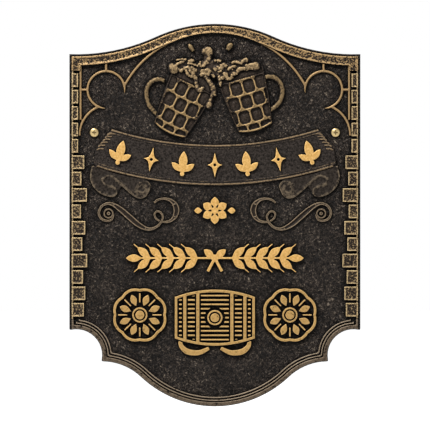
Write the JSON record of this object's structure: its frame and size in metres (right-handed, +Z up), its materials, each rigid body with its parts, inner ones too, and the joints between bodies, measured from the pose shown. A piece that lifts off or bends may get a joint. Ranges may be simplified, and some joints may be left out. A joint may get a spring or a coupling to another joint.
{
  "type": "wall welcome plaque",
  "caption": "Cast metal wall plaque with an arched crown, scooped lower corners, raised border, ribbon, mugs and ornaments, held by brass screws in wall plugs.",
  "frame": {"origin": "on the wall plane, midway between the axes of the two screws", "axes": "+Z up, +X to the viewer's right, the front faces -Y and +Y runs into the wall"},
  "size_m": [0.291, 0.0463, 0.3827],
  "materials": {
    "dark_bronze_paint": "dark bronze paint on pebbled cast aluminium, faint gold on the high spots",
    "rubbed_bronze_relief": "dark bronze paint rubbed back to a soft gold on the raised faces",
    "bright_gold_relief": "bright satin gold paint on the raised faces",
    "brass_screw": "brushed brass",
    "plug_plastic": "plain moulded nylon"
  },
  "bodies": {
    "plaque": {"plate": "dark_bronze_paint", "top_band": "rubbed_bronze_relief", "left_tracery": "rubbed_bronze_relief", "right_tracery": "rubbed_bronze_relief", "left_upper_blocks": "rubbed_bronze_relief", "right_upper_blocks": "rubbed_bronze_relief", "left_lower_blocks": "rubbed_bronze_relief", "right_lower_blocks": "rubbed_bronze_relief", "bottom_moulding": "rubbed_bronze_relief", "ribbon_banner": "dark_bronze_paint", "left_ribbon_tail": "dark_bronze_paint", "right_ribbon_tail": "dark_bronze_paint", "left_flourish": "rubbed_bronze_relief", "right_flourish": "rubbed_bronze_relief", "left_mug": "rubbed_bronze_relief", "right_mug": "rubbed_bronze_relief", "left_mug_handle": "rubbed_bronze_relief", "right_mug_handle": "rubbed_bronze_relief", "foam": "bright_gold_relief", "foam_drops": "bright_gold_relief", "ribbon_ornaments": "bright_gold_relief", "centre_rosette": "bright_gold_relief", "barley_ears": "bright_gold_relief", "cask_ornament": "bright_gold_relief", "left_medallion": "bright_gold_relief", "right_medallion": "bright_gold_relief", "left_wall_plug": "plug_plastic", "right_wall_plug": "plug_plastic"},
    "left_screw": {"left_screw": "brass_screw"},
    "right_screw": {"right_screw": "brass_screw"}
  },
  "joints": [
    {"name": "left_screw_slide", "type": "slide", "parent": "plaque", "child": "left_screw", "axis": [0, -1, 0], "range_m": [0, 0.045]},
    {"name": "right_screw_slide", "type": "slide", "parent": "plaque", "child": "right_screw", "axis": [0, -1, 0], "range_m": [0, 0.045]}
  ]
}
